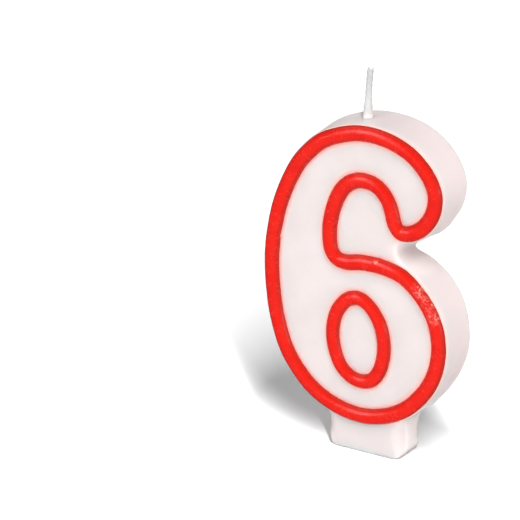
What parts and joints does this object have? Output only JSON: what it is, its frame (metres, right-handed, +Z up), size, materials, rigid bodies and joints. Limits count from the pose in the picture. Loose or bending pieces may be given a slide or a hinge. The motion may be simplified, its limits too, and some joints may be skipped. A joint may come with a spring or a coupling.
{
  "type": "number birthday candle",
  "caption": "Flat moulded numeral-six birthday candle: white wax slab on an integral foot, raised red wax border beads on the front, and a waxed plaited cotton wick.",
  "frame": {"origin": "centre of the foot's flat resting face", "axes": "+Z up the candle, towards the wick; -Y out of the bordered front face; +X to the right seen from the front, towards the open side of the digit"},
  "size_m": [0.0441, 0.0094, 0.082],
  "materials": {
    "white_wax": null,
    "red_wax": null,
    "priming_wax": null,
    "wick_cotton": "white plaited cotton yarn soaked with wax"
  },
  "bodies": {
    "root": {"wax_body": "white_wax", "outer_border_bead": "red_wax", "counter_border_bead": "red_wax", "wick_wax_coat": "priming_wax", "wick_strand_a": "wick_cotton", "wick_strand_b": "wick_cotton", "wick_strand_c": "wick_cotton"}
  },
  "joints": []
}
